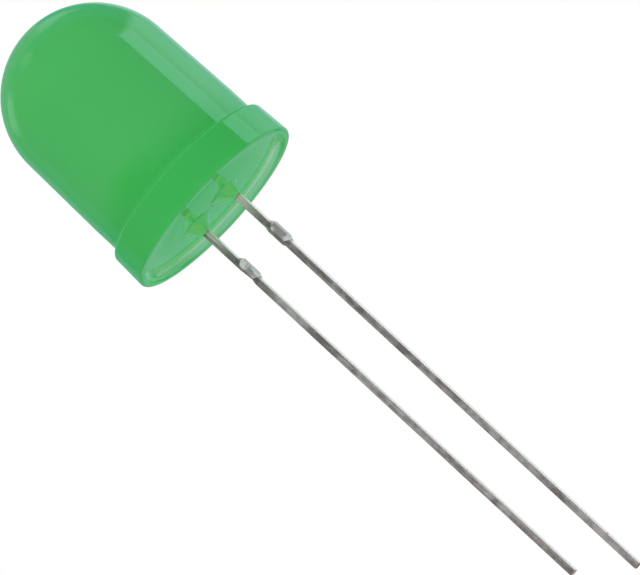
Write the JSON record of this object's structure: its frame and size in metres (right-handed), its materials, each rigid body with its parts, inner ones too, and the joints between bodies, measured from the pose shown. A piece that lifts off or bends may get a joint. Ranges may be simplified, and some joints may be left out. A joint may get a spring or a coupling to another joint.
{
  "type": "through hole led",
  "caption": "Large round light-emitting diode in green diffused epoxy with a domed lens, a foot flange and long straight leads for a plated-hole board.",
  "frame": {"origin": "on the lens axis, in the plane of the flange's rim that seats on the board, midway between the leads", "axes": "+Z along the lens axis towards the dome, the leads along -Z; +X from the cathode lead (shorter) to the anode lead (longer)"},
  "size_m": [0.011, 0.011, 0.0425],
  "materials": {
    "green_epoxy": "green diffused epoxy, cast glossy",
    "tinned_steel": "dull tin plate on stamped steel",
    "chip_crystal": "sawn semiconductor crystal",
    "silver_paste": "cured conductive paste",
    "gold_wire": "drawn gold wire"
  },
  "bodies": {
    "root": {"epoxy_lens": "green_epoxy", "anode_lead": "tinned_steel", "cathode_lead": "tinned_steel", "led_chip": "chip_crystal", "die_bond": "silver_paste", "bond_wire": "gold_wire"}
  },
  "joints": []
}
